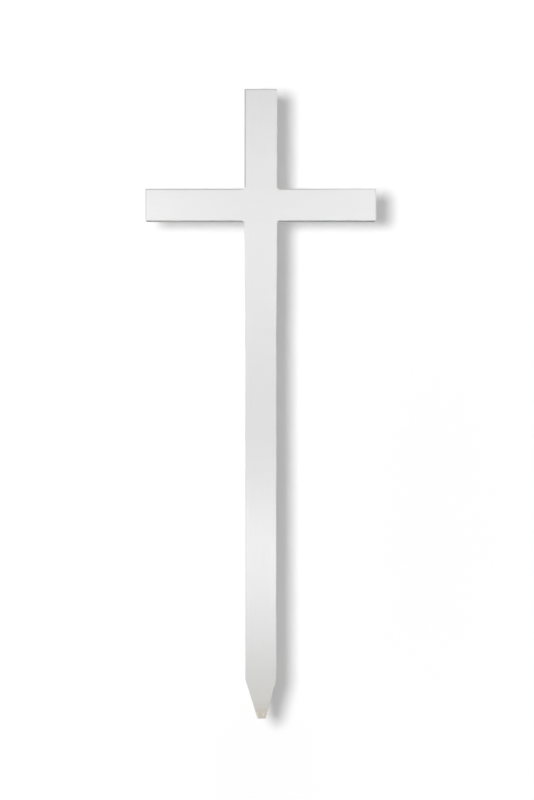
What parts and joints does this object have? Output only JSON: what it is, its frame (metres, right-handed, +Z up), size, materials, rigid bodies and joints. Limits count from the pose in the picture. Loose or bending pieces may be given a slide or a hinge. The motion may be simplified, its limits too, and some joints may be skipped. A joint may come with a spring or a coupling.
{
  "type": "wooden grave cross",
  "caption": "Plain white-painted wooden grave cross on a pointed stake, an upright and a crossbar halved together flush, set upright in soil to mark a grave.",
  "frame": {"origin": "centre of the stake at the ground line, 0.25 m above the blunt end of its point", "axes": "+Z up along the upright, +X along the crossbar, -Y out of the front face"},
  "size_m": [0.33, 0.021, 0.9],
  "materials": {
    "white_paint": "white satin paint over planed softwood, thin and worn at the point"
  },
  "bodies": {
    "root": {"upright": "white_paint", "crossbar": "white_paint"}
  },
  "joints": []
}
